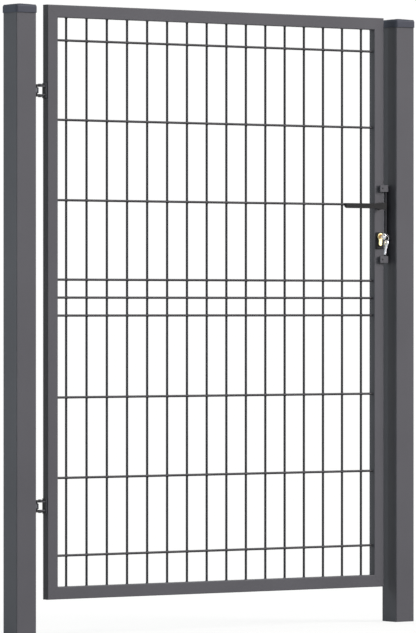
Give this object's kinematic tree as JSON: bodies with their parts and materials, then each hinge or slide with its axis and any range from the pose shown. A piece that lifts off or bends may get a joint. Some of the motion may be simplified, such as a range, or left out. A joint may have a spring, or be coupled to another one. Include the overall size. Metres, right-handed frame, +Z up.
{
  "type": "steel panel gate",
  "caption": "Hinged garden gate: a welded wire panel in a tube frame, hung between square capped posts, with a lever lock, keys and a keep with stops.",
  "frame": {"origin": "centre of the hinge post's foot, at ground level", "axes": "+X from the hinge post to the latch post, +Z up, -Y the side with the lever, towards the viewer of the picture"},
  "size_m": [1.261, 0.0754, 1.58],
  "materials": {
    "powder_coat": "satin anthracite powder coat",
    "cap_plastic": "matt moulded plastic",
    "zinc_plate": "dull zinc plate",
    "lock_steel": "dull steel",
    "black_plastic": "matt black",
    "black_coat": "satin black coat",
    "brass": "satin",
    "nickel_plate": "polished nickel",
    "rubber": "matt"
  },
  "bodies": {
    "posts": {"hinge_post": "powder_coat", "hinge_post_cap": "cap_plastic", "latch_post": "powder_coat", "latch_post_cap": "cap_plastic", "upper_hinge_clevis": "powder_coat", "upper_hinge_nuts": "zinc_plate", "upper_hinge_pins": "zinc_plate", "lower_hinge_clevis": "powder_coat", "lower_hinge_nuts": "zinc_plate", "lower_hinge_pins": "zinc_plate", "latch_keep": "powder_coat", "keep_buffers": "rubber"},
    "leaf": {"back_escutcheon": "black_plastic", "bottom_rail": "powder_coat", "deadbolt": "lock_steel", "front_escutcheon": "black_plastic", "hinge_stile": "powder_coat", "key_ring": "nickel_plate", "latch_tongue": "lock_steel", "lever_rosette": "black_plastic", "lock_case": "lock_steel", "lock_cylinder": "brass", "lock_faceplate": "lock_steel", "lock_stile": "powder_coat", "lower_hinge_bracket": "powder_coat", "mesh_panel": "powder_coat", "spare_key": "nickel_plate", "spindle_blank": "black_plastic", "top_rail": "powder_coat", "upper_hinge_bracket": "powder_coat"},
    "lever": {"lever_handle": "black_coat", "lever_spindle": "lock_steel"},
    "key": {"lock_plug": "brass", "key": "nickel_plate"}
  },
  "joints": [
    {"name": "leaf_swing", "type": "hinge", "parent": "posts", "child": "leaf", "pos_m": [0.0606, 0, 0.846], "axis": [0, 0, 1], "range_deg": [0, 100]},
    {"name": "lever_turn", "type": "hinge", "parent": "leaf", "child": "lever", "pos_m": [1.125, -0.011, 1.088], "axis": [0, -1, 0], "range_deg": [0, 40], "stiffness_Nm_per_rad": 1.2, "springref_deg": -14.32},
    {"name": "key_turn", "type": "hinge", "parent": "leaf", "child": "key", "pos_m": [1.125, -0.017, 1.009], "axis": [0, -1, 0], "range_deg": [0, 90]}
  ]
}
